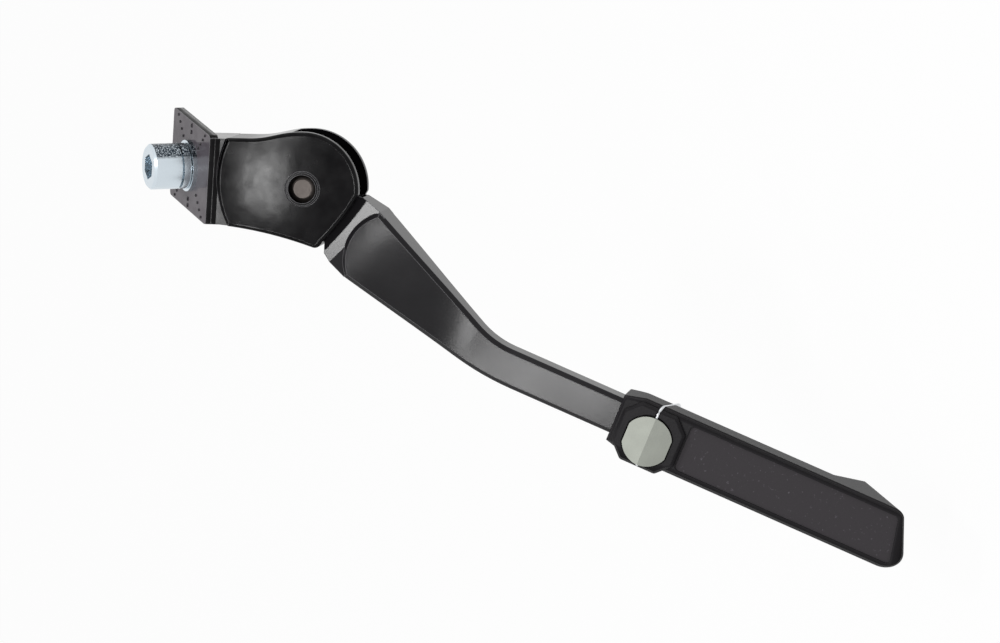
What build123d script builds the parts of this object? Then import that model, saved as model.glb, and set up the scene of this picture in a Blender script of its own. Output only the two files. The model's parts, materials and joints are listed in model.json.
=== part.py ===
from build123d import *
import os
from math import atan2, cos, degrees, pi, radians, sin, tan

# Bicycle kickstand, in millimetres and degrees, with the leg down as it stands in use.
# The row frame has its origin on the clamp bolt's axis at the plate's clamping face,
# +Z along that bolt away from the stand, +X towards the front wheel and +Y out to the left.

# Clamp plate and its bolt
plate_across = 40.0
plate_along = 32.0
plate_thickness = 3.0
plate_corner = 1.5
bolt_diameter = 10.0
bolt_head_diameter = 16.0
bolt_head_height = 10.0
bolt_socket_flats = 8.0
bolt_socket_depth = 5.0
bolt_length = 25.0
bolt_head_edge = 0.8
bolt_end_edge = 1.0
lock_washer_diameter = 16.0
lock_washer_thickness = 2.5
lock_washer_rise = 1.0
lock_washer_split = 0.8
flat_washer_diameter = 18.0
flat_washer_thickness = 1.6
washer_clearance = 0.25
thread_clearance = 0.05
boss_diameter = 19.0
boss_length = 24.0
boss_end_edge = 1.0

# Fold axis: how far it leans up from the ground and turns from straight across the bike
axis_lean = 33.0
axis_skew = 10.0
pivot_forward = -1.2
pivot_outward = 38.4
pivot_drop = 28.2
fold_travel = 110.0

# Housing around the pivot, measured in the plane square to the fold axis
cheek_thickness = 3.0
knuckle_space = 13.0
rim_radius = 19.6
top_edge = 17.0
bottom_edge = 13.4
cavity_radius = 14.2
notch_radius = 17.2
notch_angle = -38.0
notch_start = -5.0
lobe_reach = 21.6
lobe_angle = -76.0
lobe_corner = 2.4
underside_start = 30.0
underside_middle = (-13.0, -15.9)
sway_start = 20.0
sway_handles = (11.0, 9.0)
cheek_edge_round = 1.3
crease_radius = 34.0
crease_place = 30.4
crease_rise = 1.5
collar_radius = 6.1
collar_height = 0.7
collar_edge = 0.4

# Pivot
pin_radius = 4.9
pin_end_radius = 3.2
pin_end_length = 0.9
pin_recess = 0.4
bush_wall = 1.5
running_clearance = 0.04
eye_radius = 13.5
thrust_washer_thickness = 0.5
thrust_washer_radius = 10.0
side_play = 0.05

# Detent that holds the leg up or down
detent_lift = 0.5
plunger_radius = 3.9
plunger_length = 7.0
plunger_stem_radius = 1.6
plunger_stem_length = 4.0
plunger_clearance = 0.05
plunger_edge = 0.8
plunger_tip_clearance = 0.1
spring_bore_length = 18.0
detent_wire = 1.1
detent_turns = 5
spring_seat_clearance = 0.1
spring_side_clearance = 0.3

# Leg
neck_low_angle = -70.0
neck_high_angle = -8.0
stop_clearance = 0.15
rim_clearance = 0.5
nose_radius = 20.6
shoulder_thickness = 17.0
shin_thickness = 10.5
shin_width = 13.0
shin_angle = -22.0
thigh_lower_angle = -34.9
thigh_upper_angle = -48.1
thigh_lower_start = (14.3, -30.4)
thigh_upper_start = (27.0, -7.5)
lower_nose = (6.9, -22.4)
lower_shoulder = (9.2, -25.4)
shin_point = (90.0, -67.95)
bend_radius_lower = 100.0
bend_radius_upper = 31.0
taper_start = 22.0
taper_end = 78.0
leg_end = 86.0
leg_bevel = 1.5
facet_drop = 1.2
facet_direction = -45.0
facet_slope = 19.0
facet_start = 16.5
facet_half = 4.6
panel_crown = (15.8, -16.2)

# Rack on the leg and the pawl under the button
rack_pitch = 2.5
rack_depth = 0.9
rack_land = 0.5
rack_start = 23.0
height_travel = 40.0

# Foot, measured along and across the shin
foot_start = 21.4
foot_near = -1.0
foot_depth = 17.0
foot_low = -10.5
foot_high = 10.5
mouth_low = -8.5
mouth_high = 8.5
collar_slope_end = 29.0
back_round = 7.0
sole_drop = 205.0
sole_low_corner = 6.0
sole_high_corner = 3.0
foot_bevel = 1.1
sleeve_clearance = 0.1
end_clearance = 1.5
panel_border = 2.3
panel_recess = 0.6
panel_gap = 0.6
panel_end = 125.4
panel_slant = 12.0
panel_corner = 1.5
heel_start = 95.5
heel_peak = 108.5
heel_depth = 23.0
heel_round = 1.5

# Release button in its boss
button_along = 34.8
button_across = -2.7
button_radius = 8.65
button_flats = 15.9
button_gap = 0.35
button_under = -1.2
ridge_rise = 1.1
ridge_over_pin = 1.6
pin_height = 0.4
boss_along = 23.0
boss_high_side = 9.2
boss_low_side = -12.3
boss_corner = 5.0
boss_corner_round = 1.5
boss_top = 0.8
boss_bevel = 0.9
boss_root = 8.0
pocket_floor = -2.4
pawl_reach = 5.5
pawl_width = 6.0
pawl_window = 4.4
pawl_tip_clearance = 0.1
button_spring_wire = 0.4
button_spring_radius = 1.6
button_spring_turns = 3
spring_seat_height = 0.3

# Wire clip
wire_diameter = 1.1
wire_gap = 0.3
wire_bend = 3.0
wire_lean = 13.0
wire_groove = 0.1
wire_end_recess = 0.4
clip_hook = 8.0

# Directions of the fold axis and of the plane square to it
axis_direction = Vector(
    -sin(radians(axis_skew)) * cos(radians(axis_lean)),
    cos(radians(axis_skew)) * cos(radians(axis_lean)),
    sin(radians(axis_lean)),
)
rearward = Vector(-cos(radians(axis_skew)), -sin(radians(axis_skew)), 0)
outward = rearward.cross(axis_direction)
pivot_point = Vector(pivot_forward, pivot_outward, -pivot_drop)
hinge = Plane(origin=pivot_point, x_dir=outward, z_dir=axis_direction)

# Depths along the fold axis, counted from the outer cheek's face
housing_width = knuckle_space + 2 * cheek_thickness
inner_near = -cheek_thickness
inner_far = -cheek_thickness - knuckle_space
middle = -housing_width / 2
eye_width = knuckle_space - 2 * thrust_washer_thickness - 2 * side_play
eye_near = middle + eye_width / 2
foot_far = foot_near - foot_depth

# Straight lower part of the leg, where the foot slides
shin = Plane(
    origin=(shin_point[0], shin_point[1], 0),
    x_dir=(cos(radians(shin_angle)), sin(radians(shin_angle)), 0),
    z_dir=(0, 0, 1),
)
shin_near = middle + shin_thickness / 2
mouth_reach = 3 * rim_radius


def turned(radius, angle):
    """Point at a radius and an angle about the fold axis."""
    return (radius * cos(radians(angle)), radius * sin(radians(angle)))


def slab(outline, low, high):
    """Solid of a flat outline between two depths."""
    return extrude(Pos(0, 0, low) * outline, amount=high - low)


def crossing(start, angle, other, other_angle):
    """Point where two straight edges meet."""
    ux, uy = turned(1, angle)
    vx, vy = turned(1, other_angle)
    gap_x, gap_y = other[0] - start[0], other[1] - start[1]
    along = (gap_x * vy - gap_y * vx) / (ux * vy - uy * vx)
    return (start[0] + ux * along, start[1] + uy * along)


def shin_place(along, across):
    """Point in the hinge plane from its place along and across the shin."""
    ux, uy = turned(1, shin_angle)
    return (shin_point[0] + along * ux - across * uy, shin_point[1] + along * uy + across * ux)


def on_shin(shape):
    """Place a shape drawn along and across the shin."""
    return hinge * (shin * shape)


def along_fold_axis(radius, low, high):
    """Round solid about the fold axis."""
    return slab(Circle(radius), low, high)


def pin_hole():
    """Running hole for the pivot pin, longer than the housing is wide."""
    return along_fold_axis(pin_radius + running_clearance, -2 * housing_width, housing_width)


def cheek_outline():
    """Side view of the housing, the same for both cheeks."""
    lobe_in = turned(rim_radius, neck_low_angle)
    lobe_tip = turned(lobe_reach, lobe_angle)
    back = -2 * plate_across
    with BuildSketch() as outline:
        with BuildLine():
            top = Line((back, top_edge), (-sway_start, top_edge))
            leave, arrive = sway_handles
            sway = Bezier(top @ 1, (-leave, top_edge), (-arrive, rim_radius), (0, rim_radius))
            rim = ThreePointArc(sway @ 1, turned(rim_radius, 45), turned(rim_radius, notch_start))
            notch = ThreePointArc(rim @ 1, turned(notch_radius, notch_angle), lobe_in)
            lobe = Line(notch @ 1, lobe_tip)
            under = ThreePointArc(lobe @ 1, underside_middle, (-underside_start, -bottom_edge))
            bottom = Line(under @ 1, (back, -bottom_edge))
            Line(bottom @ 1, top @ 0)
        make_face()
        corner = outline.vertices().sort_by_distance((lobe_tip[0], lobe_tip[1], 0))[0]
        fillet(corner, radius=lobe_corner)
    return outline.sketch


def mouth_outline():
    """Space that the leg's neck sweeps, from stop to stop."""
    folded = neck_high_angle + fold_travel
    low_x, low_y = turned(stop_clearance, neck_low_angle - 90)
    high_x, high_y = turned(stop_clearance, folded + 90)
    low_run = turned(mouth_reach, neck_low_angle)
    high_run = turned(mouth_reach, folded)
    mouth = Polyline(
        (low_x, low_y),
        (low_x + low_run[0], low_y + low_run[1]),
        turned(1.5 * mouth_reach, (neck_low_angle + folded) / 2),
        (high_x + high_run[0], high_y + high_run[1]),
        (high_x, high_y),
        (low_x, low_y),
    )
    return make_face(mouth) + Circle(cavity_radius)


def clamp_plate():
    """Flat plate that bolts under the chainstays."""
    outline = RectangleRounded(plate_along, plate_across, plate_corner)
    return extrude(outline, amount=-plate_thickness)


def crease_disc():
    """Round line where the cheek's face meets the strip beside the plate."""
    return Pos(crease_radius - crease_place, crease_rise) * Circle(crease_radius)


def housing():
    """Cheeks and webs as one block, with a root that stands square to the plate's edges."""
    outline = cheek_outline()
    block = slab(outline & crease_disc(), -housing_width, 0)
    rims = block.faces().sort_by(Axis.Z)
    block = fillet(rims[-1].edges() + rims[0].edges(), radius=cheek_edge_round)
    root = slab(outline - crease_disc(), -housing_width, housing_width)
    root = hinge * root & behind_plate_edge() & between_plate_sides()
    return hinge * block + root


def half_space(plane):
    """Large block behind a plane."""
    reach = 3 * sole_drop
    return plane * (Pos(0, 0, -reach / 2) * Box(reach, reach, reach))


def behind_plate_edge():
    """Half-space behind the flat strip that runs down from the plate's outer edge."""
    lean = radians(axis_lean)
    strip = Plane(origin=(0, plate_across / 2, 0), x_dir=(1, 0, 0), z_dir=(0, cos(lean), sin(lean)))
    return half_space(strip)


def between_plate_sides():
    """Space as wide as the plate, as deep as it takes."""
    reach = 3 * sole_drop
    return Box(plate_along, reach, reach)


def bolt_boss():
    """Round boss that takes the clamp bolt's thread."""
    boss = Cylinder(boss_diameter / 2, boss_length, align=(Align.CENTER, Align.CENTER, Align.MAX))
    return chamfer(boss.faces().sort_by(Axis.Z)[0].edges(), boss_end_edge)


def bracket():
    """Cast head of the stand."""
    body = (housing() & half_space(Plane.XY)) + clamp_plate() + bolt_boss()
    collar = along_fold_axis(collar_radius, -1, collar_height)
    body += hinge * chamfer(collar.edges().group_by(Axis.Z)[-1], collar_edge)
    body -= hinge * slab(mouth_outline(), inner_far, inner_near)
    body -= hinge * along_fold_axis(pin_radius, -housing_width - 1, collar_height + 1)
    bore_start = -eye_radius
    bore = Plane(origin=(bore_start, 0, middle), z_dir=(-1, 0, 0))
    bore_solid = Cylinder(
        plunger_radius + plunger_clearance,
        spring_bore_length,
        align=(Align.CENTER, Align.CENTER, Align.MIN),
    )
    body -= hinge * (bore * bore_solid)
    tapped = Cylinder(
        bolt_diameter / 2 + thread_clearance,
        boss_length + 2,
        align=(Align.CENTER, Align.CENTER, Align.MAX),
    )
    return body - Pos(0, 0, 1) * tapped


def mount_bolt():
    """Socket head bolt, with its shank down through the washers and the boss."""
    under_head = flat_washer_thickness + lock_washer_thickness + lock_washer_rise
    up = (Align.CENTER, Align.CENTER, Align.MIN)
    head = Cylinder(bolt_head_diameter / 2, bolt_head_height, align=up)
    head = chamfer(head.edges().group_by(Axis.Z)[-1], bolt_head_edge)
    hexagon = RegularPolygon(bolt_socket_flats / 2, 6, major_radius=False)
    socket = extrude(hexagon, amount=-bolt_socket_depth)
    head -= Pos(0, 0, bolt_head_height) * socket
    down = (Align.CENTER, Align.CENTER, Align.MAX)
    shank = Cylinder(bolt_diameter / 2, bolt_length, align=down)
    shank = chamfer(shank.edges().group_by(Axis.Z)[0], bolt_end_edge)
    return Pos(0, 0, under_head) * (head + shank)


def flat_washer():
    """Plain washer on the clamping face."""
    up = (Align.CENTER, Align.CENTER, Align.MIN)
    ring = Cylinder(flat_washer_diameter / 2, flat_washer_thickness, align=up)
    return ring - Cylinder(bolt_diameter / 2 + washer_clearance, flat_washer_thickness, align=up)


def lock_washer():
    """Split spring washer between the head and the plain washer, one turn of a flat bar."""
    inner = bolt_diameter / 2 + washer_clearance
    bar_width = lock_washer_diameter / 2 - inner
    radius = inner + bar_width / 2
    turn = 1 - lock_washer_split / (2 * pi * radius)
    path = Helix(lock_washer_rise / turn, lock_washer_rise, radius)
    bar = Rectangle(bar_width, lock_washer_thickness)
    bar = Plane(origin=path @ 0, x_dir=(1, 0, 0), z_dir=path % 0) * bar
    height = flat_washer_thickness + lock_washer_thickness / 2
    return Pos(0, 0, height) * sweep(bar, path=path, is_frenet=True)


def pivot_pin():
    """Steel pin pressed through both cheeks, with coned ends."""
    low = -housing_width + pin_recess
    high = -pin_recess
    profile = Polyline(
        (0, low), (pin_end_radius, low), (pin_radius, low + pin_end_length),
        (pin_radius, high - pin_end_length), (pin_end_radius, high), (0, high), (0, low),
    )
    return hinge * revolve(Plane.XZ * make_face(profile), Axis.Z)


def pivot_bush():
    """Plain bush pressed into the leg's eye."""
    ring = along_fold_axis(pin_radius + bush_wall, eye_near - eye_width, eye_near)
    return hinge * (ring - pin_hole())


def thrust_washers():
    """A thin ring on each side of the eye."""
    near = along_fold_axis(thrust_washer_radius, inner_near - thrust_washer_thickness, inner_near)
    far = along_fold_axis(thrust_washer_radius, inner_far, inner_far + thrust_washer_thickness)
    return hinge * ((near + far) - pin_hole())


def detent_axis(distance):
    """Plane square to the plunger, at a distance from the fold axis."""
    return Plane(origin=(-distance, 0, middle), z_dir=(-1, 0, 0))


def detent_plunger():
    """Plunger that presses on the flats of the eye."""
    up = (Align.CENTER, Align.CENTER, Align.MIN)
    head = Cylinder(plunger_radius, plunger_length, align=up)
    head = chamfer(head.edges().group_by(Axis.Z)[0], plunger_edge)
    stem = Cylinder(plunger_stem_radius, plunger_length + plunger_stem_length, align=up)
    return hinge * (detent_axis(eye_radius + plunger_tip_clearance) * (head + stem))


def coil(wire, radius, pitch, height, start):
    """Coil spring with its first turn on the plane given, its wire drawn with eight sides."""
    path = Helix(pitch, height, radius)
    profile = Plane(origin=path @ 0, z_dir=path % 0) * RegularPolygon(wire / 2, 8)
    return start * sweep(profile, path=path, is_frenet=True)


def detent_spring():
    """Coil spring between the plunger's shoulder and the bottom of its bore."""
    start = eye_radius + plunger_tip_clearance + plunger_length
    end = eye_radius + spring_bore_length
    room = end - start - detent_wire - 2 * spring_seat_clearance
    radius = plunger_radius - detent_wire / 2 - spring_side_clearance
    plane = detent_axis(start + detent_wire / 2 + spring_seat_clearance)
    return hinge * coil(detent_wire, radius, room / detent_turns, room, plane)


def depth_profile():
    """Edge view of the leg: thick at the shoulder, tapering smoothly to the shin."""
    thigh_angle = (thigh_lower_angle + thigh_upper_angle) / 2
    edge = Plane(
        origin=(0, 0, middle),
        x_dir=(cos(radians(thigh_angle)), sin(radians(thigh_angle)), 0),
        z_dir=(-sin(radians(thigh_angle)), cos(radians(thigh_angle)), 0),
    )
    thick = shoulder_thickness / 2
    thin = shin_thickness / 2
    third = (taper_end - taper_start) / 3
    end = 2 * (taper_end + leg_end)
    with BuildLine() as half:
        near_eye = Line((-eye_radius, 0), (-eye_radius, thick))
        shoulder = Line(near_eye @ 1, (taper_start, thick))
        taper = Bezier(
            shoulder @ 1, (taper_start + third, thick), (taper_end - third, thin), (taper_end, thin)
        )
        shank = Line(taper @ 1, (end, thin))
        tip = Line(shank @ 1, (end, 0))
        Line(tip @ 1, near_eye @ 0)
    side = make_face(half.line)
    return edge * extrude(side + mirror(side, about=Plane.XZ), amount=leg_end, both=True)


def panel_outline():
    """Raised panel of the leg, from its rounded top end to the end inside the foot."""
    low = -shin_width / 2
    high = shin_width / 2
    low_bend = crossing(thigh_lower_start, thigh_lower_angle, shin_place(0, low), shin_angle)
    high_bend = crossing(thigh_upper_start, thigh_upper_angle, shin_place(0, high), shin_angle)
    with BuildSketch() as outline:
        with BuildLine():
            crown = ThreePointArc(thigh_upper_start, panel_crown, thigh_lower_start)
            thigh_low = Line(crown @ 1, low_bend)
            shin_low = Line(thigh_low @ 1, shin_place(leg_end, low))
            end = Line(shin_low @ 1, shin_place(leg_end, high))
            shin_high = Line(end @ 1, high_bend)
            Line(shin_high @ 1, crown @ 0)
        make_face()
        corners = outline.vertices()
        fillet(corners.sort_by_distance((low_bend[0], low_bend[1], 0))[0], radius=bend_radius_lower)
        corners = outline.vertices()
        fillet(corners.sort_by_distance((high_bend[0], high_bend[1], 0))[0], radius=bend_radius_upper)
    return outline.sketch


def shoulder_outline():
    """Lower level of the leg around the panel's top end, up to the housing's rim."""
    inner = rim_radius + rim_clearance
    along_x, along_y = turned(nose_radius - inner + leg_bevel + rim_clearance, thigh_upper_angle)
    nose = Polyline(
        turned(nose_radius, neck_high_angle), thigh_upper_start,
        (thigh_upper_start[0] + along_x, thigh_upper_start[1] + along_y),
        thigh_lower_start, lower_shoulder, lower_nose, turned(inner, neck_low_angle),
        (0, 0), turned(nose_radius, neck_high_angle),
    )
    return make_face(nose) - Circle(inner)


def facet_wedge():
    """Wedge whose two sloping faces give the shoulder its facets."""
    direction = radians(facet_direction)
    edge = Plane(
        origin=(0, 0, middle),
        x_dir=(cos(direction), sin(direction), 0),
        z_dir=(-sin(direction), cos(direction), 0),
    )
    tip = facet_start - facet_half / tan(radians(facet_slope))
    far_half = (leg_end - tip) * tan(radians(facet_slope))
    side = Polyline((tip, 0), (leg_end, far_half), (leg_end, -far_half), (tip, 0))
    return edge * extrude(make_face(side), amount=leg_end, both=True)


def neck():
    """Sector from the eye out through the mouth of the housing, whose flanks are the stops."""
    reach = (nose_radius + rim_radius + rim_clearance) / 2
    sector = Polyline(
        (0, 0), turned(mouth_reach, neck_low_angle), turned(mouth_reach, neck_high_angle), (0, 0)
    )
    outline = (make_face(sector) & Circle(reach)) - Circle(pin_radius + bush_wall)
    return slab(outline, eye_near - eye_width, eye_near)


def eye():
    """Round end of the leg, with the flats that the plunger rests on."""
    ring = along_fold_axis(eye_radius, eye_near - eye_width, eye_near)
    side = 2 * eye_radius
    flat = Pos(-eye_radius + detent_lift - side / 2, 0, middle) * Box(side, side, side)
    for angle in (0, -fold_travel):
        ring -= Rot(0, 0, angle) * flat
    return ring


def rack():
    """Notches across the near face of the shin, in step with the pawl."""
    half = rack_pitch / 2 - rack_land / 2
    outline = Polyline(
        (-2 * half, rack_depth), (2 * half, rack_depth), (0, -rack_depth), (-2 * half, rack_depth)
    )
    cutter = extrude(Plane.XZ * make_face(outline), amount=shin_width, both=True)
    pawl_place = button_along - pawl_reach
    first = int((pawl_place - rack_start) / rack_pitch)
    last = int(height_travel / rack_pitch) + 1
    places = [pawl_place + rack_pitch * step for step in range(-first, last)]
    return [shin * Pos(place, 0, shin_near) * cutter for place in places]


def leg():
    """Cast leg: eye, neck, tapered thigh, bend and shin."""
    panel = slab(panel_outline(), -2 * housing_width, housing_width) & depth_profile()
    near_far = panel.faces().filter_by(lambda f: abs(f.normal_at().Z) > 0.8)
    panel = chamfer(near_far.edges().filter_by(lambda e: is_rim(e, near_far)), leg_bevel)
    thick = shoulder_thickness / 2 - facet_drop
    shoulder = slab(shoulder_outline(), middle - thick, middle + thick)
    body = panel + ((shoulder + neck()) & facet_wedge()) + eye()
    body -= along_fold_axis(pin_radius + bush_wall, -2 * housing_width, housing_width)
    for cutter in rack():
        body -= cutter
    return hinge * body


def is_rim(edge, faces):
    """Whether an edge bounds only one of the faces given."""
    centre = edge.center()
    near = [face for face in faces for other in face.edges() if (other.center() - centre).length < 1e-6]
    return len(near) == 1


def sole_along(across, depth):
    """How far along the shin the ground plane lies, at a place across it and a depth."""
    lean = radians(axis_lean)
    reach = (sole_drop - pivot_drop + depth * sin(lean)) / cos(lean)
    ux, uy = turned(1, shin_angle)
    return (reach - shin_point[0] + across * uy) / ux


def side_view(end):
    """Side view of the foot from its mouth to an end square to the shin."""
    return make_face(Polyline(
        (foot_start, mouth_low), (collar_slope_end, foot_low), (end, foot_low), (end, foot_high),
        (collar_slope_end, foot_high), (foot_start, mouth_high), (foot_start, mouth_low),
    ))


def sleeve_bar(end):
    """Bar with a flat near face and a rounded back."""
    section = make_face(Polyline(
        (foot_far, foot_low), (foot_near, foot_low), (foot_near, foot_high), (foot_far, foot_high),
        (foot_far, foot_low),
    ))
    section = fillet(section.vertices().group_by(Axis.X)[0], back_round)
    across = Plane(origin=(end, 0, 0), x_dir=(0, 0, 1), z_dir=(-1, 0, 0))
    return extrude(across * section, amount=end)


def heel(end):
    """Pad behind the sole, which slopes out from the rounded back."""
    heel_far = foot_near - heel_depth
    slope = make_face(Polyline(
        (heel_start, middle), (heel_peak, heel_far), (end, heel_far), (end, middle), (heel_start, middle),
    ))
    ridge = slope.vertices().sort_by_distance((heel_peak, heel_far, 0))[0]
    block = extrude(Plane.XZ * fillet(ridge, heel_round), amount=foot_low - foot_high)
    return Pos(0, foot_low, 0) * block


def paddle():
    """Outer form of the foot, cut off level with the ground and rounded at the sole."""
    end = sole_along(foot_low, foot_near)
    body = (sleeve_bar(end) & slab(side_view(end), foot_far, foot_near)) + heel(end)
    ground = Plane(origin=(0, 0, -sole_drop), z_dir=(0, 0, -1))
    body = on_shin(body) & half_space(ground)
    body = fillet(sole_edges(body)[-1], sole_low_corner)
    body = fillet(sole_edges(body)[0], sole_high_corner)
    near = body.faces().sort_by(Axis(pivot_point, axis_direction))[-1]
    return chamfer(near.edges(), foot_bevel)


def sole_edges(body):
    """Edges of the lowest face, from the one that faces forward in the fold to the one behind."""
    return body.faces().sort_by(Axis.Z)[0].edges().sort_by(Axis.X)


def panel_recess_outline():
    """Shallow panel between the boss and the sole."""
    start = button_along + boss_along / 2 + panel_gap
    low = foot_low + panel_border
    high = foot_high - panel_border
    slant = tan(radians(panel_slant))
    outline = make_face(Polyline(
        (start, low), (panel_end - low * slant, low), (panel_end - high * slant, high), (start, high),
        (start, low),
    ))
    return fillet(outline.vertices(), panel_corner)


def boss_outline():
    """Eight-sided boss around the button."""
    along = boss_along / 2
    cut = boss_corner
    outline = make_face(Polyline(
        (-along, boss_low_side + cut), (-along + cut, boss_low_side), (along - cut, boss_low_side),
        (along, boss_low_side + cut), (along, boss_high_side - cut), (along - cut, boss_high_side),
        (-along + cut, boss_high_side), (-along, boss_high_side - cut), (-along, boss_low_side + cut),
    ))
    return Pos(button_along, 0) * fillet(outline.vertices(), boss_corner_round)


def button_outline(grow):
    """Round button with two flats across the leg."""
    disc = Circle(button_radius + grow) & Rectangle(button_flats + 2 * grow, 4 * button_radius)
    return Pos(button_along, button_across) * disc


def across_leg(radius):
    """Round bar along the button's hinge pin."""
    length = 4 * (foot_high - foot_low)
    bar = Cylinder(radius, length, rotation=(90, 0, 0))
    return Pos(button_along, 0, pin_height) * bar


def wire_loop(start, radius):
    """Round bar along the wire: the button's hinge pin, then round the back of the sleeve."""
    away = wire_gap + wire_diameter / 2
    high = boss_high_side + away
    low = foot_low - away
    lean = radians(wire_lean)
    back = (foot_far - away - pin_height) / cos(lean)
    with BuildLine() as route:
        FilletPolyline(
            (start, 0), (high, 0), (high, back), (low, back), (low, back + clip_hook), radius=wire_bend
        )
    loop = Plane(origin=(button_along, 0, pin_height), x_dir=(0, 1, 0), z_dir=(cos(lean), 0, sin(lean)))
    path = loop * route.line
    profile = Plane(origin=path @ 0, z_dir=path % 0) * Circle(radius)
    return sweep(profile, path=path)


def foot():
    """Plastic sleeve and paddle."""
    body = paddle()
    boss = slab(boss_outline(), foot_near - boss_root, boss_top)
    body += on_shin(chamfer(boss.faces().sort_by(Axis.Z)[-1].edges(), boss_bevel))
    body -= on_shin(slab(panel_recess_outline(), foot_near - panel_recess, 0))
    length = 2 * (leg_end + end_clearance)
    sleeve = Rectangle(length, shin_width + 2 * sleeve_clearance)
    back = middle - shin_thickness / 2 - sleeve_clearance
    body -= on_shin(slab(sleeve, back, shin_near + sleeve_clearance))
    body -= on_shin(slab(button_outline(button_gap), pocket_floor, 2 * boss_top))
    window = Rectangle(pawl_window, pawl_width + 2 * button_gap)
    window = Pos(button_along - pawl_reach, button_across) * window
    body -= on_shin(slab(window, shin_near, 0))
    return body - on_shin(wire_loop(2 * boss_low_side, wire_diameter / 2 + wire_groove))


def release_button():
    """Rocker disc with a ridge along its hinge pin and a pawl under one half."""
    top = pin_height + ridge_over_pin
    disc = slab(button_outline(0), button_under, top)
    slope = degrees(atan2(ridge_rise, button_radius))
    side = 6 * button_radius
    for turn, place in ((-slope, -side / 2), (slope, side / 2)):
        roof = Rot(0, turn, 0) * Pos(place, 0, side / 2) * Box(side, side, side)
        disc -= Pos(button_along, 0, top) * roof
    tip = shin_near + pawl_tip_clearance
    half = rack_pitch / 2 - rack_land / 2
    root = button_under + wire_diameter / 2
    pawl = make_face(Polyline(
        (-half, root), (half, root), (half, tip + rack_depth), (0, tip), (-half, tip + rack_depth),
        (-half, root),
    ))
    bar = extrude(Plane.XZ * pawl, amount=pawl_width / 2, both=True)
    disc += Pos(button_along - pawl_reach, button_across, 0) * bar
    seat = Pos(button_along + pawl_reach, button_across) * Circle(button_spring_radius + button_spring_wire)
    disc -= slab(seat, 2 * button_under, spring_seat_height)
    disc -= across_leg(wire_diameter / 2 + running_clearance)
    return on_shin(disc)


def button_spring():
    """Coil spring under the half of the button that is pressed."""
    room = spring_seat_height - pocket_floor - 2 * spring_seat_clearance - button_spring_wire
    start = Plane(
        origin=(
            button_along + pawl_reach,
            button_across,
            pocket_floor + spring_seat_clearance + button_spring_wire / 2,
        ),
        z_dir=(0, 0, 1),
    )
    pitch = room / button_spring_turns
    return on_shin(coil(button_spring_wire, button_spring_radius, pitch, room, start))


def wire_clip():
    """Bent spring wire, whose first end is the button's hinge pin."""
    return on_shin(wire_loop(boss_low_side + wire_end_recess, wire_diameter / 2))


parts = {
    "bracket": bracket(),
    "mount_bolt": mount_bolt(),
    "flat_washer": flat_washer(),
    "lock_washer": lock_washer(),
    "pivot_pin": pivot_pin(),
    "pivot_bush": pivot_bush(),
    "thrust_washers": thrust_washers(),
    "detent_plunger": detent_plunger(),
    "detent_spring": detent_spring(),
    "leg": leg(),
    "foot": foot(),
    "release_button": release_button(),
    "button_spring": button_spring(),
    "wire_clip": wire_clip(),
}

os.makedirs("parts", exist_ok=True)
for name, solid in parts.items():
    export_step(solid, f"parts/{name}.step")
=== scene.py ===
import json
import math
import bpy
from mathutils import Matrix, Vector


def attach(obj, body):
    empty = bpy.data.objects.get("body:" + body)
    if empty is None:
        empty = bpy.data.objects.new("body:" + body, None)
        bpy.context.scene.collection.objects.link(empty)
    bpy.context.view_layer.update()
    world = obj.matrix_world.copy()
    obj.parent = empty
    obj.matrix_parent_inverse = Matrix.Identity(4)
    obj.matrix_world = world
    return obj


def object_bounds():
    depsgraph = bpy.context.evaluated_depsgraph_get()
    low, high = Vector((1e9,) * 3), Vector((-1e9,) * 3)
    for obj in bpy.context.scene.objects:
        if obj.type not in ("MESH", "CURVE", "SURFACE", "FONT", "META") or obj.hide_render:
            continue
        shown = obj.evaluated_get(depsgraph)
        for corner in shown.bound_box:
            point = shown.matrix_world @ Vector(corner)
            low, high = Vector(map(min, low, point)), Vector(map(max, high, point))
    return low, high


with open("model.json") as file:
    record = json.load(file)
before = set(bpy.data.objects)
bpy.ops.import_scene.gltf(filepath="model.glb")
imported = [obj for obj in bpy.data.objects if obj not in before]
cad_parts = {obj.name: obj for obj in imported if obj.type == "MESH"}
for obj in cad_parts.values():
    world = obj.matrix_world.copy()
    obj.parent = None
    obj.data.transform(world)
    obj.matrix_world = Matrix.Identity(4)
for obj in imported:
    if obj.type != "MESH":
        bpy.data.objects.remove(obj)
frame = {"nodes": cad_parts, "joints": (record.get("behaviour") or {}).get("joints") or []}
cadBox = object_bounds()
nodes = frame["nodes"]
print("frame loaded:", len(nodes), "nodes")

mm = 0.001
nearFace = 0.05 * mm     # a point this close to a face's plane counts as on that face

# the stand's own directions, from its joints: the fold axis, the shin, and the plane square to the axis
stand = {"cheekHeight": 9.5, "bend": (90.0, -67.95)}     # mm, from the middle of the leg's eye
joints = {joint["name"]: joint for joint in frame["joints"]}
foldAxis = Vector(joints["leg_fold"]["axis"]).normalized()
rearward = Vector((0, 0, 1)).cross(foldAxis).normalized()
outward = rearward.cross(foldAxis).normalized()          # down and out from the pivot, towards the foot
pivot = Vector(joints["leg_fold"]["pos_m"]) + foldAxis * stand["cheekHeight"] * mm   # on the outer cheek
shinLine = Vector(joints["foot_height"]["axis"]).normalized()
shinAcross = foldAxis.cross(shinLine)


def onStand(out, rear):
    # a point level with the outer cheek's face, so many mm outward and rearward of the pivot
    return pivot + (outward * out + rearward * rear) * mm


shinStart = onStand(*stand["bend"])                      # on the shin's middle line, at the bend


def linear(hexColour):
    # sRGB hex to the linear numbers that the shader wants
    parts = [int(hexColour[i:i + 2], 16) / 255 for i in (1, 3, 5)]
    return [p / 12.92 if p <= 0.04045 else ((p + 0.055) / 1.055) ** 2.4 for p in parts] + [1.0]


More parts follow.
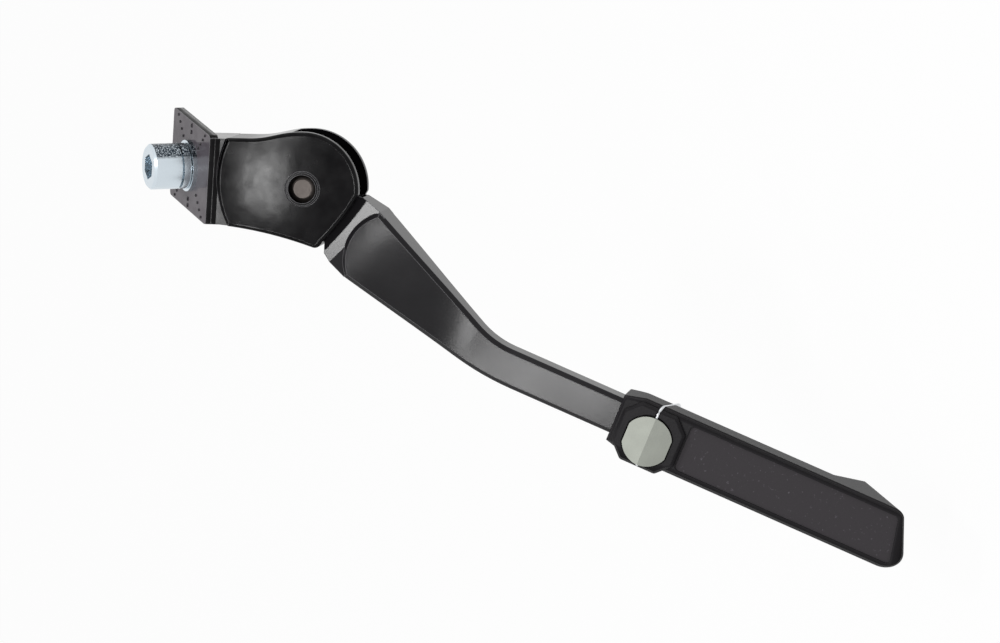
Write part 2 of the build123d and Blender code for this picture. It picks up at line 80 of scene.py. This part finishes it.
def addNode(tree, kind, settings=None, out=None, **links):
    # adds one node and gives back the output asked for, or the first that is in use. A link is input name =
    # output or value, where i0 and i1 stand for numbered inputs and None leaves an input alone
    made = tree.nodes.new(kind)
    for key, value in (settings or {}).items():
        setattr(made, key, value)
    for name, value in links.items():
        if name[0] == "i" and name[1:].isdigit():
            socket = made.inputs[int(name[1:])]
        else:
            socket = [s for s in made.inputs if s.enabled and s.name == name.replace("_", " ")][0]
        if isinstance(value, bpy.types.NodeSocket):
            tree.links.new(value, socket)
        elif value is not None:
            socket.default_value = value
    found = [socket for socket in made.outputs if socket.enabled and out in (None, socket.name)]
    return found[0] if found else None


def newMaterial(name):
    material = bpy.data.materials.new(name)
    material.use_nodes = True
    material.node_tree.nodes.clear()
    return material, material.node_tree


def distanceAlong(tree, place, start, line):
    # how far a point lies along a line from its start
    fromStart = addNode(tree, "ShaderNodeVectorMath", {"operation": "SUBTRACT"}, i0=place, i1=start)
    return addNode(tree, "ShaderNodeVectorMath", {"operation": "DOT_PRODUCT"}, i0=fromStart, i1=line)


def distanceFromAxis(tree, place, start):
    # how far a point lies from the line that runs through the start along the fold axis
    fromStart = addNode(tree, "ShaderNodeVectorMath", {"operation": "SUBTRACT"}, i0=place, i1=start)
    square = addNode(tree, "ShaderNodeVectorMath", {"operation": "CROSS_PRODUCT"}, i0=fromStart, i1=foldAxis)
    return addNode(tree, "ShaderNodeVectorMath", {"operation": "LENGTH"}, i0=square)


def roundHollow(tree, away, radius):
    # how far a round hollow of that radius in mm rises at a distance from its middle
    square = addNode(tree, "ShaderNodeMath", {"operation": "MULTIPLY"}, i0=away, i1=away)
    return addNode(tree, "ShaderNodeMath", {"operation": "DIVIDE"}, i0=square, i1=2 * radius * mm)


def coatEdges(tree, look):
    # normals with the edges rounded a little, and a mask of those edges, where a pale highlight is painted on
    turn = {"start": 0.995, "full": 0.93}                # cosine between the rounded and the plain normal
    rounded = addNode(tree, "ShaderNodeBevel", {"samples": 6}, Radius=look["roundMm"] * mm)
    plain = addNode(tree, "ShaderNodeNewGeometry", out="Normal")
    same = addNode(tree, "ShaderNodeVectorMath", {"operation": "DOT_PRODUCT"}, i0=rounded, i1=plain)
    edge = addNode(tree, "ShaderNodeMapRange", Value=same, From_Min=turn["start"], From_Max=turn["full"])
    return rounded, edge


def grainOver(tree, place, look, shaped=None):
    # the surface's fine grain, laid over the normals given
    grain = addNode(tree, "ShaderNodeTexNoise", Vector=place, Scale=1 / (look["grainMm"] * mm),
                    Detail=look["grainDetail"])
    return addNode(tree, "ShaderNodeBump", Height=grain, Strength=look["grain"],
                   Distance=look["grainHeight"] * mm, Normal=shaped)


def glossPowderCoat():
    # polyester powder coat baked on a die-cast head: deep black, wet gloss, a slight orange peel.
    # Its cheeks are a little dished, so a lamp shows there as a soft cloud; the plate's rim is rounded.
    # Its clamping face is painted a lighter grey as painted light, and its edges carry a painted pale
    # highlight
    look = {"colour": "#0b0a0c", "colourFacePaintedLight": "#544e54", "colourEdgeHighlight": "#8c8b8e", "roughness": 0.13,
            "cloudMm": 5.0, "cloudFrom": 0.3, "cloudTo": 0.7, "specularFrom": 0.06, "specularTo": 0.13,
            "grainMm": 2.5, "grainDetail": 2.0, "grainHeight": 0.1, "grain": 0.05, "roundMm": 0.3,
            "dishMiddle": (9.7, 2.4), "dishRadius": (220.0, 240.0), "creaseMiddle": (3.6, 1.5),
            "creaseRadius": 33.6, "rimMiddle": -1.6, "rimHalf": 1.5, "rimRadius": 1.7}
    material, tree = newMaterial("glossPowderCoat")
    place = addNode(tree, "ShaderNodeTexCoord", out="Object")
    height = addNode(tree, "ShaderNodeSeparateXYZ", out="Z", Vector=place)
    rounded, edge = coatEdges(tree, look)
    dishMiddle = onStand(*look["dishMiddle"])
    dishOut, dishRear = [roundHollow(tree, distanceAlong(tree, place, dishMiddle, line), radius)
                         for line, radius in zip((outward, rearward), look["dishRadius"])]
    dish = addNode(tree, "ShaderNodeMath", {"operation": "ADD"}, i0=dishOut, i1=dishRear)
    fromCrease = distanceFromAxis(tree, place, onStand(*look["creaseMiddle"]))
    onDish = addNode(tree, "ShaderNodeMath", {"operation": "LESS_THAN"}, i0=fromCrease,
                     i1=look["creaseRadius"] * mm)       # the dish ends at the crease that rounds the cheek
    dished = addNode(tree, "ShaderNodeBump", Height=dish, Strength=onDish, Distance=1.0, Normal=rounded)
    fromRim = addNode(tree, "ShaderNodeMath", {"operation": "SUBTRACT"}, i0=height, i1=look["rimMiddle"] * mm)
    onRim = addNode(tree, "ShaderNodeMath", {"operation": "COMPARE"}, i0=fromRim, i1=0.0,
                    i2=look["rimHalf"] * mm)
    rim = roundHollow(tree, fromRim, look["rimRadius"])
    rimmed = addNode(tree, "ShaderNodeBump", {"invert": True}, Height=rim, Strength=onRim, Distance=1.0,
                     Normal=dished)
    skin = grainOver(tree, place, look, rimmed)
    # painted light: the clamping face alone is given a lighter grey for the light it catches
    onPlate = addNode(tree, "ShaderNodeMath", {"operation": "COMPARE"}, i0=height, i1=0.0, i2=nearFace)
    coat = addNode(tree, "ShaderNodeMix", {"data_type": "RGBA"}, Factor=onPlate, A=linear(look["colour"]),
                   B=linear(look["colourFacePaintedLight"]))
    # painted highlight: a pale grey is painted along the edges
    colour = addNode(tree, "ShaderNodeMix", {"data_type": "RGBA"}, Factor=edge, A=coat,
                     B=linear(look["colourEdgeHighlight"]))
    cloud = addNode(tree, "ShaderNodeTexNoise", Vector=place, Scale=1 / (look["cloudMm"] * mm), Detail=3.0)
    gloss = addNode(tree, "ShaderNodeMapRange", Value=cloud, From_Min=look["cloudFrom"],
                    From_Max=look["cloudTo"], To_Min=look["specularFrom"], To_Max=look["specularTo"])
    shade = addNode(tree, "ShaderNodeBsdfPrincipled", Base_Color=colour, Roughness=look["roughness"],
                    Specular_IOR_Level=gloss, Normal=skin)
    addNode(tree, "ShaderNodeOutputMaterial", Surface=shade)
    return material


def satinPowderCoat():
    # the leg's coat is duller: a near-black satin whose flat faces show grey and whose bevels stay dark. Its
    # grain of about 0.3 mm is drawn at 0.7 mm so that it shows. Its upper half is cast with a slight twist,
    # so it stays darker than the shin under the same lamp
    look = {"colour": "#1b1a1c", "colourThin": "#232224", "colourEdgeHighlight": "#858487", "cloudMm": 14.0,
            "roughness": 0.1, "roughnessDull": 0.15, "specular": 0.12,
            "grainMm": 0.7, "grainDetail": 2.0, "grainHeight": 0.1, "grain": 0.06, "roundMm": 0.3,
            "twist": 0.032, "twistFrom": 45.0, "twistTo": 60.0}
    material, tree = newMaterial("satinPowderCoat")
    place = addNode(tree, "ShaderNodeTexCoord", out="Object")
    rounded, edge = coatEdges(tree, look)
    along = distanceAlong(tree, place, pivot, outward)
    slope = distanceAlong(tree, place, pivot, rearward * look["twist"])
    upper = addNode(tree, "ShaderNodeMapRange", Value=along, From_Min=look["twistTo"] * mm,
                    From_Max=look["twistFrom"] * mm)
    twisted = addNode(tree, "ShaderNodeBump", Height=slope, Strength=upper, Distance=1.0, Normal=rounded)
    skin = grainOver(tree, place, look, twisted)
    cloud = addNode(tree, "ShaderNodeTexNoise", Vector=place, Scale=1 / (look["cloudMm"] * mm), Detail=3.0)
    coat = addNode(tree, "ShaderNodeMix", {"data_type": "RGBA"}, Factor=cloud, A=linear(look["colour"]),
                   B=linear(look["colourThin"]))
    # painted highlight: a pale grey is painted along the edges
    colour = addNode(tree, "ShaderNodeMix", {"data_type": "RGBA"}, Factor=edge, A=coat,
                     B=linear(look["colourEdgeHighlight"]))
    rough = addNode(tree, "ShaderNodeMapRange", Value=cloud, To_Min=look["roughness"],
                    To_Max=look["roughnessDull"])
    shade = addNode(tree, "ShaderNodeBsdfPrincipled", Base_Color=colour, Roughness=rough,
                    Specular_IOR_Level=look["specular"], Normal=skin)
    addNode(tree, "ShaderNodeOutputMaterial", Surface=shade)
    return material


def glassFilledNylon():
    # glass-filled nylon from a spark-eroded mould: matt black-grey with a fine leathery grain and pale glass
    # specks, both under 0.3 mm in life and drawn coarser so that they show. Only the sunk panel has the grey
    # spark-eroded face and the specks; the border round it is less matt, crowned and darker
    look = {"colour": "#151316", "colourPanel": "#3a373a", "colourSpeck": "#58545a",
            "speckMm": 1.2, "speckFrom": 0.64, "speckTo": 0.76,
            "roughness": 0.42, "roughnessPanel": 0.6, "specular": 0.14,
            "grainMm": 0.8, "grainDetail": 5.0, "grainHeight": 0.12, "grain": 0.5, "roundMm": 0.6,
            "borderAcross": 7.9, "borderAlong": 125.8, "borderSlant": -0.2126, "borderRadius": 2.4,
            "panelDepth": -1.6}
    material, tree = newMaterial("glassFilledNylon")
    place = addNode(tree, "ShaderNodeTexCoord", out="Object")
    rounded = addNode(tree, "ShaderNodeBevel", {"samples": 6}, Radius=look["roundMm"] * mm)
    along = distanceAlong(tree, place, shinStart, shinLine - shinAcross * look["borderSlant"])
    across = distanceAlong(tree, place, shinStart, shinAcross)
    aside = addNode(tree, "ShaderNodeMath", {"operation": "ABSOLUTE"}, i0=across)
    falls = []
    for line, start in ((aside, look["borderAcross"]), (along, look["borderAlong"])):
        past = addNode(tree, "ShaderNodeMath", {"operation": "SUBTRACT"}, i0=line, i1=start * mm)
        beyond = addNode(tree, "ShaderNodeMath", {"operation": "MAXIMUM"}, i0=past, i1=0.0)
        falls.append(roundHollow(tree, beyond, look["borderRadius"]))
    fall = addNode(tree, "ShaderNodeMath", {"operation": "ADD"}, i0=falls[0], i1=falls[1])
    crowned = addNode(tree, "ShaderNodeBump", {"invert": True}, Height=fall, Strength=1.0, Distance=1.0,
                      Normal=rounded)
    skin = grainOver(tree, place, look, crowned)
    depth = distanceAlong(tree, place, shinStart, foldAxis)
    onPanel = addNode(tree, "ShaderNodeMath", {"operation": "COMPARE"}, i0=depth, i1=look["panelDepth"] * mm,
                      i2=nearFace)
    nylon = addNode(tree, "ShaderNodeMix", {"data_type": "RGBA"}, Factor=onPanel, A=linear(look["colour"]),
                    B=linear(look["colourPanel"]))
    glass = addNode(tree, "ShaderNodeTexNoise", Vector=place, Scale=1 / (look["speckMm"] * mm), Detail=3.0)
    speck = addNode(tree, "ShaderNodeMapRange", Value=glass, From_Min=look["speckFrom"],
                    From_Max=look["speckTo"])
    specked = addNode(tree, "ShaderNodeMath", {"operation": "MULTIPLY"}, i0=speck, i1=onPanel)
    colour = addNode(tree, "ShaderNodeMix", {"data_type": "RGBA"}, Factor=specked, A=nylon,
                     B=linear(look["colourSpeck"]))
    rough = addNode(tree, "ShaderNodeMapRange", Value=onPanel, To_Min=look["roughness"],
                    To_Max=look["roughnessPanel"])
    shade = addNode(tree, "ShaderNodeBsdfPrincipled", Base_Color=colour, Roughness=rough,
                    Specular_IOR_Level=look["specular"], Normal=skin)
    addNode(tree, "ShaderNodeOutputMaterial", Surface=shade)
    return material


def brightZincPlate():
    # bright zinc plate on a forged bolt: cool silver, with a painted dark reflection speckled on its sides'
    # rear
    look = {"colour": "#cfd9e0", "colourPaintedReflection": "#1d2630", "speckMm": 0.45, "speckFrom": 0.3, "speckTo": 0.52,
            "patchFrom": -4.4, "patchTo": -5.3, "upright": 0.5, "roughness": 0.26, "roughnessDull": 0.36,
            "grainMm": 0.7, "grainDetail": 2.0, "grainHeight": 0.1, "grain": 0.1}
    material, tree = newMaterial("brightZincPlate")
    place = addNode(tree, "ShaderNodeTexCoord", out="Object")
    forward = addNode(tree, "ShaderNodeSeparateXYZ", out="X", Vector=place)
    patch = addNode(tree, "ShaderNodeMapRange", Value=forward, From_Min=look["patchFrom"] * mm,
                    From_Max=look["patchTo"] * mm)
    facing = addNode(tree, "ShaderNodeNewGeometry", out="Normal")
    upwards = addNode(tree, "ShaderNodeSeparateXYZ", out="Z", Vector=facing)
    onSide = addNode(tree, "ShaderNodeMath", {"operation": "LESS_THAN"}, i0=upwards, i1=look["upright"])
    mottle = addNode(tree, "ShaderNodeTexNoise", Vector=place, Scale=1 / (look["speckMm"] * mm), Detail=4.0)
    speck = addNode(tree, "ShaderNodeMapRange", Value=mottle, From_Min=look["speckFrom"],
                    From_Max=look["speckTo"])
    specked = addNode(tree, "ShaderNodeMath", {"operation": "MULTIPLY"}, i0=speck, i1=onSide)
    # painted dark reflection: speckles at the rear of the sides, darker in colour and a little rougher
    paintedReflection = addNode(tree, "ShaderNodeMath", {"operation": "MULTIPLY"}, i0=patch, i1=specked)
    colour = addNode(tree, "ShaderNodeMix", {"data_type": "RGBA"}, Factor=paintedReflection, A=linear(look["colour"]),
                     B=linear(look["colourPaintedReflection"]))
    rough = addNode(tree, "ShaderNodeMapRange", Value=paintedReflection, To_Min=look["roughness"],
                    To_Max=look["roughnessDull"])
    skin = grainOver(tree, place, look)
    shade = addNode(tree, "ShaderNodeBsdfPrincipled", Base_Color=colour, Metallic=1.0, Roughness=rough,
                    Normal=skin)
    addNode(tree, "ShaderNodeOutputMaterial", Surface=shade)
    return material


def tumbledZincCasting():
    # die-cast zinc, tumbled smooth: satin silver-grey with a green cast and small clouds
    look = {"colour": "#8c8f88", "colourCloud": "#7e807a", "cloudMm": 5.0, "roughness": 0.5,
            "grainMm": 0.5, "grainDetail": 3.0, "grainHeight": 0.1, "grain": 0.15}
    material, tree = newMaterial("tumbledZincCasting")
    place = addNode(tree, "ShaderNodeTexCoord", out="Object")
    cloud = addNode(tree, "ShaderNodeTexNoise", Vector=place, Scale=1 / (look["cloudMm"] * mm), Detail=3.0)
    colour = addNode(tree, "ShaderNodeMix", {"data_type": "RGBA"}, Factor=cloud, A=linear(look["colour"]),
                     B=linear(look["colourCloud"]))
    skin = grainOver(tree, place, look)
    shade = addNode(tree, "ShaderNodeBsdfPrincipled", Base_Color=colour, Metallic=1.0,
                    Roughness=look["roughness"], Normal=skin)
    addNode(tree, "ShaderNodeOutputMaterial", Surface=shade)
    return material


def turnedOiledSteel():
    # steel bar turned on a lathe and oiled: warm mid grey, with rings about the fold axis on the pin's ends.
    # Real feed marks are 0.1 mm apart; they are drawn at 0.5 mm so that they show
    look = {"colour": "#544f4c", "colourOil": "#3b3735", "oilMm": 2.0, "roughness": 0.36,
            "ringMm": 0.5, "ringHeight": 0.02, "ring": 0.25}
    material, tree = newMaterial("turnedOiledSteel")
    place = addNode(tree, "ShaderNodeTexCoord", out="Object")
    radius = distanceFromAxis(tree, place, pivot)
    turns = addNode(tree, "ShaderNodeMath", {"operation": "MULTIPLY"}, i0=radius,
                    i1=math.tau / (look["ringMm"] * mm))
    rings = addNode(tree, "ShaderNodeMath", {"operation": "SINE"}, i0=turns)
    skin = addNode(tree, "ShaderNodeBump", Height=rings, Strength=look["ring"],
                   Distance=look["ringHeight"] * mm)
    oil = addNode(tree, "ShaderNodeTexNoise", Vector=place, Scale=1 / (look["oilMm"] * mm), Detail=3.0)
    colour = addNode(tree, "ShaderNodeMix", {"data_type": "RGBA"}, Factor=oil, A=linear(look["colour"]),
                     B=linear(look["colourOil"]))
    shade = addNode(tree, "ShaderNodeBsdfPrincipled", Base_Color=colour, Metallic=1.0,
                    Roughness=look["roughness"], Normal=skin)
    addNode(tree, "ShaderNodeOutputMaterial", Surface=shade)
    return material


def drawnSpringWire():
    # bright drawn wire: smooth silver, slightly darker in streaks
    look = {"colour": "#e2e4e6", "colourStreak": "#b4b7ba", "streakMm": 3.0, "roughness": 0.2}
    material, tree = newMaterial("drawnSpringWire")
    place = addNode(tree, "ShaderNodeTexCoord", out="Object")
    streak = addNode(tree, "ShaderNodeTexNoise", Vector=place, Scale=1 / (look["streakMm"] * mm), Detail=2.0)
    colour = addNode(tree, "ShaderNodeMix", {"data_type": "RGBA"}, Factor=streak, A=linear(look["colour"]),
                     B=linear(look["colourStreak"]))
    shade = addNode(tree, "ShaderNodeBsdfPrincipled", Base_Color=colour, Metallic=1.0,
                    Roughness=look["roughness"])
    addNode(tree, "ShaderNodeOutputMaterial", Surface=shade)
    return material


def sinteredBronze():
    # oil-soaked sintered bronze: warm brown, with dark open pores. Real pores are under 0.1 mm across; they
    # are drawn at 0.35 mm so that they show
    look = {"colour": "#a97f4b", "colourPore": "#5d4226", "poreMm": 0.35, "poreFrom": 0.58, "poreTo": 0.68,
            "poreDepth": 0.05, "pore": 0.3, "roughness": 0.45}
    material, tree = newMaterial("sinteredBronze")
    place = addNode(tree, "ShaderNodeTexCoord", out="Object")
    pitted = addNode(tree, "ShaderNodeTexNoise", Vector=place, Scale=1 / (look["poreMm"] * mm), Detail=2.0)
    pore = addNode(tree, "ShaderNodeMapRange", Value=pitted, From_Min=look["poreFrom"],
                   From_Max=look["poreTo"])
    colour = addNode(tree, "ShaderNodeMix", {"data_type": "RGBA"}, Factor=pore, A=linear(look["colour"]),
                     B=linear(look["colourPore"]))
    skin = addNode(tree, "ShaderNodeBump", {"invert": True}, Height=pore, Strength=look["pore"],
                   Distance=look["poreDepth"] * mm)
    shade = addNode(tree, "ShaderNodeBsdfPrincipled", Base_Color=colour, Metallic=1.0,
                    Roughness=look["roughness"], Normal=skin)
    addNode(tree, "ShaderNodeOutputMaterial", Surface=shade)
    return material


finishes = {
    "headCoat": glossPowderCoat(), "legCoat": satinPowderCoat(), "nylon": glassFilledNylon(),
    "zincPlate": brightZincPlate(), "zincCasting": tumbledZincCasting(), "steel": turnedOiledSteel(),
    "wire": drawnSpringWire(), "bronze": sinteredBronze(),
}
nodeFinish = {
    "bracket": "headCoat", "leg": "legCoat", "foot": "nylon", "mount_bolt": "zincPlate",
    "flat_washer": "zincPlate", "lock_washer": "zincPlate", "release_button": "zincCasting",
    "wire_clip": "wire", "pivot_pin": "steel", "pivot_bush": "bronze", "thrust_washers": "bronze",
    "detent_plunger": "steel", "detent_spring": "wire", "button_spring": "wire",
}
for nodeName, finish in nodeFinish.items():
    nodes[nodeName].data.materials.clear()
    nodes[nodeName].data.materials.append(finishes[finish])
print("finishes on", len(nodeFinish), "nodes")


def crownTop(pattern, lip, rise):
    # draws the grip's top face in by the lip and lifts it, so that the grip has a low crown
    bpy.ops.object.mode_set(mode="EDIT")
    bpy.ops.mesh.select_all(action="DESELECT")
    bpy.ops.object.mode_set(mode="OBJECT")
    for face in pattern.data.polygons:
        face.select = face.normal.z > 0.9                # the top face alone looks up
    bpy.ops.object.mode_set(mode="EDIT")
    bpy.ops.mesh.inset(thickness=lip * mm)
    bpy.ops.transform.translate(value=(0, 0, rise * mm))
    bpy.ops.object.mode_set(mode="OBJECT")


def makePlateGrips():
    # low grips cast on the clamp plate: dots along two diagonals and dashes along the middle line
    grip = {"height": 0.35, "sunk": 0.05, "rise": 0.1, "edge": 0.08, "edgeSteps": 2, "smoothAngle": 0.6,
            "dot": 1.0, "dotSides": 16, "dotLip": 0.2, "dots": 4, "dotStart": 12.0, "dotStep": 2.9,
            "slant": 0.7071,                             # cosine of the diagonals' 45 degrees
            "dash": (1.5, 0.5), "dashLip": 0.12, "dashes": 2, "dashStart": 11.4, "dashStep": 2.3}
    dashLength, dashWidth = grip["dash"]
    bpy.ops.object.select_all(action="DESELECT")
    bpy.ops.mesh.primitive_cylinder_add(vertices=grip["dotSides"], radius=grip["dot"] / 2 * mm,
                                        depth=grip["height"] * mm)
    dot = bpy.context.object
    crownTop(dot, grip["dotLip"], grip["rise"])
    bpy.ops.object.select_all(action="DESELECT")
    bpy.ops.mesh.primitive_cube_add(size=1, scale=(dashLength * mm, dashWidth * mm, grip["height"] * mm))
    dash = bpy.context.object
    bpy.ops.object.transform_apply(location=False, rotation=False, scale=True)
    crownTop(dash, grip["dashLip"], grip["rise"])
    level = (grip["height"] / 2 - grip["sunk"]) * mm
    spots = []
    for sideX in (-1, 1):
        for sideY in (-1, 1):
            for step in range(grip["dots"]):
                reach = (grip["dotStart"] + step * grip["dotStep"]) * grip["slant"] * mm
                spots.append((dot, (sideX * reach, sideY * reach, level)))
        for step in range(grip["dashes"]):
            reach = (grip["dashStart"] + dashLength / 2 + step * grip["dashStep"]) * mm
            spots.append((dash, (sideX * reach, 0, level)))
    copies = []
    for pattern, spot in spots:
        copy = pattern.copy()
        copy.data = pattern.data.copy()
        copy.location = spot
        bpy.context.scene.collection.objects.link(copy)
        copies.append(copy)
    for pattern in (dot, dash):
        bpy.data.objects.remove(pattern)
    bpy.ops.object.select_all(action="DESELECT")
    for copy in copies:
        copy.select_set(True)
    grips = copies[0]
    bpy.context.view_layer.objects.active = grips
    bpy.ops.object.join()
    bpy.ops.object.transform_apply(location=True, rotation=True, scale=True)
    grips.name = "plateGrips"
    softened = grips.modifiers.new("softened", "BEVEL")
    softened.width = grip["edge"] * mm
    softened.segments = grip["edgeSteps"]
    bpy.ops.object.modifier_apply(modifier="softened")
    bpy.ops.object.shade_smooth_by_angle(angle=grip["smoothAngle"])
    grips.data.materials.clear()
    grips.data.materials.append(finishes["headCoat"])
    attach(grips, "head")


makePlateGrips()
print("grips on the clamp plate")


def setCamera():
    # the photograph's view, rolled a quarter turn, worked out from the plate, the cheek and the foot
    view = {"right": (-0.073, 0.373, -0.925), "back": (-0.2912, 0.8791, 0.3774), "distance": 1.5,
            "aimRight": 0.0682, "aimUp": -0.04566, "lens": 156.6, "sensor": 36.0, "farEnd": 20.0}
    back = Vector(view["back"]).normalized()
    right = Vector(view["right"])
    right = (right - back * right.dot(back)).normalized()
    up = back.cross(right)
    camera = bpy.data.objects.new("camera", bpy.data.cameras.new("camera"))
    bpy.context.scene.collection.objects.link(camera)
    camera.data.sensor_width = view["sensor"]
    camera.data.lens = view["lens"]
    camera.data.clip_end = view["farEnd"]
    place = pivot + right * view["aimRight"] + up * view["aimUp"] + back * view["distance"]
    camera.matrix_world = Matrix.Translation(place) @ Matrix((right, up, back)).transposed().to_4x4()
    bpy.context.scene.camera = camera
    return right, up, back


def whiteRays(tree):
    # 1 for the rays that see plain white: from the camera, off shiny pieces and through clear ones
    fromCamera, offGloss, through = [addNode(tree, "ShaderNodeLightPath", out=kind) for kind in
                                     ("Is Camera Ray", "Is Glossy Ray", "Is Transmission Ray")]
    direct = addNode(tree, "ShaderNodeMath", {"operation": "MAXIMUM"}, i0=fromCamera, i1=offGloss)
    return addNode(tree, "ShaderNodeMath", {"operation": "MAXIMUM"}, i0=direct, i1=through)


def addFloor():
    # pale floor just below the sole of the foot slid out in full; the camera and shiny pieces see it white,
    # and it keeps a soft shadow
    look = {"size": 12.0, "drop": 32.0, "colour": "#ffffff", "shadowShare": 0.05}
    bpy.ops.object.select_all(action="DESELECT")
    bpy.ops.mesh.primitive_plane_add(size=look["size"], location=(0, 0, cadBox[0].z - look["drop"] * mm))
    floor = bpy.context.object
    floor.name = "floor"
    material, tree = newMaterial("paleFloor")
    pale = addNode(tree, "ShaderNodeBsdfDiffuse", Color=linear(look["colour"]))
    white = addNode(tree, "ShaderNodeEmission", Color=linear(look["colour"]), Strength=1.0)
    share = addNode(tree, "ShaderNodeMath", {"operation": "MULTIPLY"}, i0=whiteRays(tree),
                    i1=1 - look["shadowShare"])
    mixed = addNode(tree, "ShaderNodeMixShader", i0=share, i1=pale, i2=white)
    addNode(tree, "ShaderNodeOutputMaterial", Surface=mixed)
    floor.data.materials.append(material)


def setWorld():
    # an even pale room: soft light on the object, plain white to the camera and to shiny pieces
    look = {"colour": "#ffffff", "ambient": 0.45}
    world = bpy.data.worlds.new("studio")
    bpy.context.scene.world = world
    world.use_nodes = True
    tree = world.node_tree
    tree.nodes.clear()
    soft = addNode(tree, "ShaderNodeBackground", Color=linear(look["colour"]), Strength=look["ambient"])
    white = addNode(tree, "ShaderNodeBackground", Color=linear(look["colour"]), Strength=1.0)
    mixed = addNode(tree, "ShaderNodeMixShader", i0=whiteRays(tree), i1=soft, i2=white)
    addNode(tree, "ShaderNodeOutputWorld", Surface=mixed)


def addSoftbox(name, box, middle, offset, level):
    # a square-cornered lamp at an offset from the middle, which it faces; its first side runs along the level
    # direction
    lamp = bpy.data.objects.new(name, bpy.data.lights.new(name, "AREA"))
    bpy.context.scene.collection.objects.link(lamp)
    lamp.data.shape = "RECTANGLE"
    lamp.data.size, lamp.data.size_y = box["size"]
    lamp.data.energy = box["power"]
    lamp.visible_camera = False
    towards = offset.normalized()
    level = (level - towards * level.dot(towards)).normalized()
    turned = Matrix((level, towards.cross(level), towards)).transposed().to_4x4()
    lamp.matrix_world = Matrix.Translation(middle + offset) @ turned


def lightStage(right, up, back):
    # one large softbox above lights the whole stand; the small ones stand where its flat faces mirror them:
    # for the shin, the cheek's cloud, the strip by the plate and the shoulder's facets. Power is in watts,
    # sizes and distances are in metres, and middles in mm on the stand
    lamps = {
        "middle": (60.0, -50.0), "facetMiddle": (18.0, -22.0), "mirrorDistance": 0.8,
        "overhead": {"power": 2.2, "size": (1.4, 0.7), "distance": 0.95, "up": 0.96, "back": 0.27},
        "shin": {"power": 0.52, "size": (0.11, 0.042), "across": 0.035, "along": -0.024},
        "cheek": {"power": 0.85, "size": (0.08, 0.1), "across": 0.05, "along": 0.08},
        "strip": {"power": 0.45, "size": (0.07, 0.07), "across": -0.15, "along": -0.16},
        "facet": {"power": 1.45, "size": (0.1, 0.1), "distance": 0.8, "towards": (-0.33, 0.21, 0.92)},
    }
    middle = onStand(*lamps["middle"])
    box = lamps["overhead"]
    above = (up * box["up"] + back * box["back"]).normalized()
    addSoftbox("overheadBox", box, middle, above * box["distance"], right)
    mirrored = foldAxis * 2 * foldAxis.dot(back) - back  # the way the flat faces mirror the camera
    level = (right - mirrored * right.dot(mirrored)).normalized()
    upright = mirrored.cross(level)
    for name in ("shin", "cheek", "strip"):
        box = lamps[name]
        offset = mirrored * lamps["mirrorDistance"] + level * box["across"] + upright * box["along"]
        addSoftbox(name + "Box", box, middle, offset, right)
    box = lamps["facet"]
    beside = Vector(box["towards"]).normalized()
    addSoftbox("facetBox", box, onStand(*lamps["facetMiddle"]), beside * box["distance"], right)
    bpy.context.scene.view_settings.view_transform = "Standard"


cameraRight, cameraUp, cameraBack = setCamera()
addFloor()
setWorld()
lightStage(cameraRight, cameraUp, cameraBack)
print("camera, floor and lamps set")
